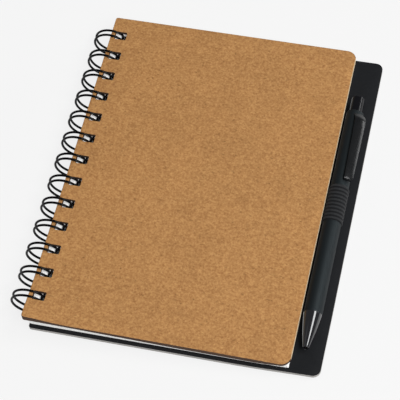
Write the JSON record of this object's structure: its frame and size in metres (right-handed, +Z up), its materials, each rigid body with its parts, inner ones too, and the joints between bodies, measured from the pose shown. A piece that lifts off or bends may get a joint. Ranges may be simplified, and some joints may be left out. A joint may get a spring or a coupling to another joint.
{
  "type": "spiral notebook",
  "caption": "Wire-bound notebook with a kraft front cover, a wider black back cover and a click pen held beside the pages in an elastic loop.",
  "frame": {"origin": "on the table, under the middle of the object's box", "axes": "+X from the spine to the fore-edge, +Y up the page, +Z up"},
  "size_m": [0.1478, 0.176, 0.0182],
  "materials": {
    "kraft_board": "uncoated brown kraft board with fine fibre flecks",
    "black_board": "matt black paper lining over grey board, grey cut edge",
    "paper": "plain white writing paper",
    "coated_wire": "glossy black nylon-coated steel wire",
    "elastic": "ribbed black knitted elastic",
    "barrel": "soft-touch black plastic",
    "nose": "glossy black plastic",
    "clip": "satin black plastic",
    "button": "glossy black plastic",
    "cam_plastic": "natural white plastic",
    "refill_plastic": "translucent tube with ink",
    "refill_brass": "turned brass",
    "spring_steel": "drawn spring wire"
  },
  "bodies": {
    "text_block": {"page_block": "paper", "binding_wire": "coated_wire"},
    "front_cover": {"front_cover": "kraft_board"},
    "back_cover": {"back_cover": "black_board", "elastic_loop": "elastic"},
    "pen": {"pen_lower_barrel": "barrel", "pen_upper_barrel": "barrel", "pen_nose_cone": "nose", "pen_clip": "clip", "pen_spring": "spring_steel"},
    "pen_core": {"pen_push_button": "button", "pen_cam": "cam_plastic", "pen_refill_tube": "refill_plastic", "pen_refill_tip": "refill_brass"}
  },
  "joints": [
    {"name": "front_cover_hinge", "type": "hinge", "parent": "text_block", "child": "front_cover", "pos_m": [-0.06482, 0, 0.0091], "axis": [0, -1, 0], "range_deg": [0, 184]},
    {"name": "back_cover_hinge", "type": "hinge", "parent": "text_block", "child": "back_cover", "pos_m": [-0.06482, 0, 0.0091], "axis": [0, 1, 0], "range_deg": [0, 180]},
    {"name": "pen_slide", "type": "slide", "parent": "back_cover", "child": "pen", "axis": [0, 1, 0], "range_m": [-0.0025, 0.086]},
    {"name": "button_press", "type": "slide", "parent": "pen", "child": "pen_core", "axis": [0, -1, 0], "range_m": [0, 0.005], "stiffness_N_per_m": 150, "springref_m": -0.004, "deforming": ["pen_spring"]}
  ]
}
